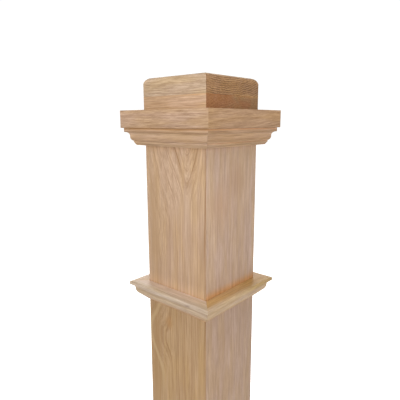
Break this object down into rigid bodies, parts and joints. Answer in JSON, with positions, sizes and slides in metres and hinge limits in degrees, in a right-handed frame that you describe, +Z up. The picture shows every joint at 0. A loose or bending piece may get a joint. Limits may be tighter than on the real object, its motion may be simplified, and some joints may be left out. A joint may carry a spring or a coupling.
{
  "type": "newel post",
  "caption": "Square hollow box newel post in oak with a moulded cap and rounded top block, a moulded neck collar and a low plinth.",
  "frame": {"origin": "centre of the post's underside, where it meets the floor", "axes": "+Z up along the post, with its faces square to X and Y"},
  "size_m": [0.2278, 0.2278, 1.397],
  "materials": {
    "board_oak": "bare sanded oak, matt",
    "cap_oak": "bare sanded oak, matt",
    "block_oak": "bare sanded oak, matt, with darker end grain on two sides",
    "mould_oak": "bare machined oak, matt"
  },
  "bodies": {
    "root": {"shaft_board_front": "board_oak", "shaft_board_right": "board_oak", "shaft_board_back": "board_oak", "shaft_board_left": "board_oak", "cap_rail_front": "cap_oak", "cap_rail_right": "cap_oak", "cap_rail_back": "cap_oak", "cap_rail_left": "cap_oak", "cap_moulding_front": "mould_oak", "cap_moulding_right": "mould_oak", "cap_moulding_back": "mould_oak", "cap_moulding_left": "mould_oak", "neck_collar_front": "mould_oak", "neck_collar_right": "mould_oak", "neck_collar_back": "mould_oak", "neck_collar_left": "mould_oak", "plinth_board_front": "board_oak", "plinth_board_right": "board_oak", "plinth_board_back": "board_oak", "plinth_board_left": "board_oak", "block_lower_layer": "block_oak", "block_upper_layer": "block_oak"}
  },
  "joints": []
}
